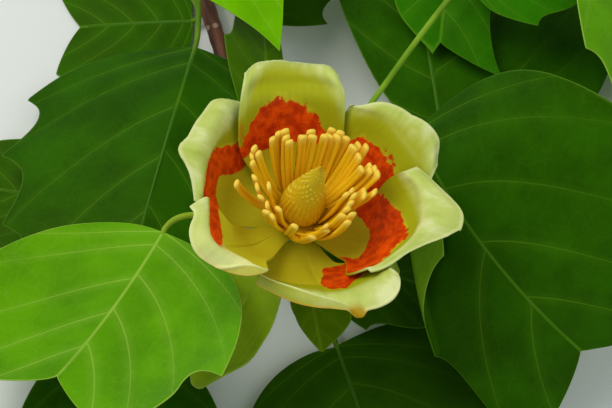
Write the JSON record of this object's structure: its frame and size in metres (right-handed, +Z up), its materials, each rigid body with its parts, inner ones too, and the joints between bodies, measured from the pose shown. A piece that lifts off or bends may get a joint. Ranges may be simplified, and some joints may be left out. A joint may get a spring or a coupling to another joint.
{
  "type": "tulip tree flowering sprig",
  "caption": "Cut sprig of a tulip tree lying down: one open cup-shaped flower facing up, broad four-lobed leaves on long stalks round it, and a woody twig with a cut end.",
  "frame": {"origin": "middle of the box that holds the sprig, on the surface it lies on", "axes": "+Z up, the way the flower faces; -Y towards the viewer of the picture; +X to the viewer's right"},
  "size_m": [0.2384, 0.2462, 0.0881],
  "materials": {
    "bark": "matte",
    "stalk": "satin",
    "leaf": "satin",
    "deep_leaf": "satin",
    "olive_leaf": "satin",
    "petal": "satin",
    "sepal": "satin",
    "stamen": "matte",
    "cone": "matte"
  },
  "bodies": {
    "root": {"twig": "bark", "flower_stalk": "stalk", "leaf_front_left": "leaf", "leaf_left": "deep_leaf", "leaf_right": "deep_leaf", "leaf_front": "deep_leaf", "leaf_under_flower": "olive_leaf", "leaf_back_bright": "leaf", "leaf_back_middle": "deep_leaf", "leaf_young": "olive_leaf", "leaf_back": "leaf", "leaf_back_right": "leaf", "leaf_far_right": "deep_leaf", "leaf_side": "leaf", "leaf_back_left": "deep_leaf", "leaf_far_left": "deep_leaf", "leaf_low_left": "deep_leaf", "leaf_low_right": "deep_leaf", "petal_inner_back": "petal", "petal_outer_right": "petal", "petal_inner_right": "petal", "petal_outer_front": "petal", "petal_inner_left": "petal", "petal_outer_left": "petal", "sepal_front": "sepal", "sepal_right": "sepal", "sepal_back": "sepal", "stamens": "stamen", "carpel_cone": "cone"}
  },
  "joints": []
}
